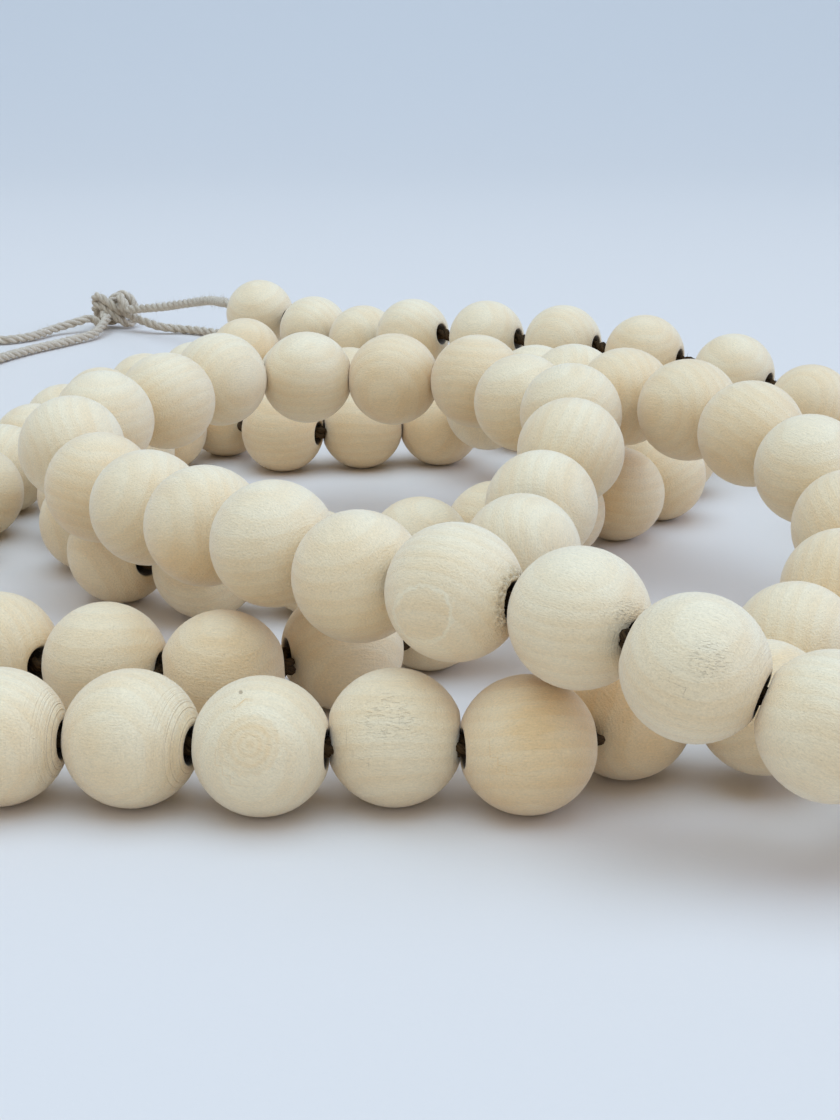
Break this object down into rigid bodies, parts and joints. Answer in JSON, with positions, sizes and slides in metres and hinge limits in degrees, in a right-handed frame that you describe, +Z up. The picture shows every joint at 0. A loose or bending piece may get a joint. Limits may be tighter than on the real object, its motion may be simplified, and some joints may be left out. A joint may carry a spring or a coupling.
{
  "type": "wood bead garland",
  "caption": "Loose heap of one long garland: turned, unfinished round wooden beads strung on jute twine, its two ends tied in one knot with cut tails.",
  "frame": {"origin": "on the surface that the garland lies on, under the middle of the box of its beads and knot", "axes": "+Z up from the surface, +X to the right and +Y away from the viewer in the picture, towards the knot"},
  "size_m": [0.2892, 0.4225, 0.0427],
  "materials": {
    "natural wood": "unfinished, finely turned and sanded pale wood with fine fibre grain",
    "jute twine": "twisted natural jute, matte and slightly hairy"
  },
  "bodies": {
    "root": {"beads_01": "natural wood", "beads_02": "natural wood", "beads_03": "natural wood", "beads_04": "natural wood", "beads_05": "natural wood", "beads_06": "natural wood", "beads_07": "natural wood", "beads_08": "natural wood", "beads_09": "natural wood", "beads_10": "natural wood", "beads_11": "natural wood", "beads_12": "natural wood", "beads_13": "natural wood", "beads_14": "natural wood", "beads_15": "natural wood", "beads_16": "natural wood", "beads_17": "natural wood", "beads_18": "natural wood", "beads_19": "natural wood", "beads_20": "natural wood", "beads_21": "natural wood", "beads_22": "natural wood", "beads_23": "natural wood", "beads_24": "natural wood", "beads_25": "natural wood", "beads_26": "natural wood", "beads_27": "natural wood", "beads_28": "natural wood", "beads_29": "natural wood", "beads_30": "natural wood", "beads_31": "natural wood", "beads_32": "natural wood", "beads_33": "natural wood", "beads_34": "natural wood", "beads_35": "natural wood", "beads_36": "natural wood", "beads_37": "natural wood", "beads_38": "natural wood", "beads_39": "natural wood", "knot": "jute twine", "twine_first": "jute twine", "twine_last": "jute twine", "tail_first": "jute twine", "tail_last": "jute twine"}
  },
  "joints": []
}
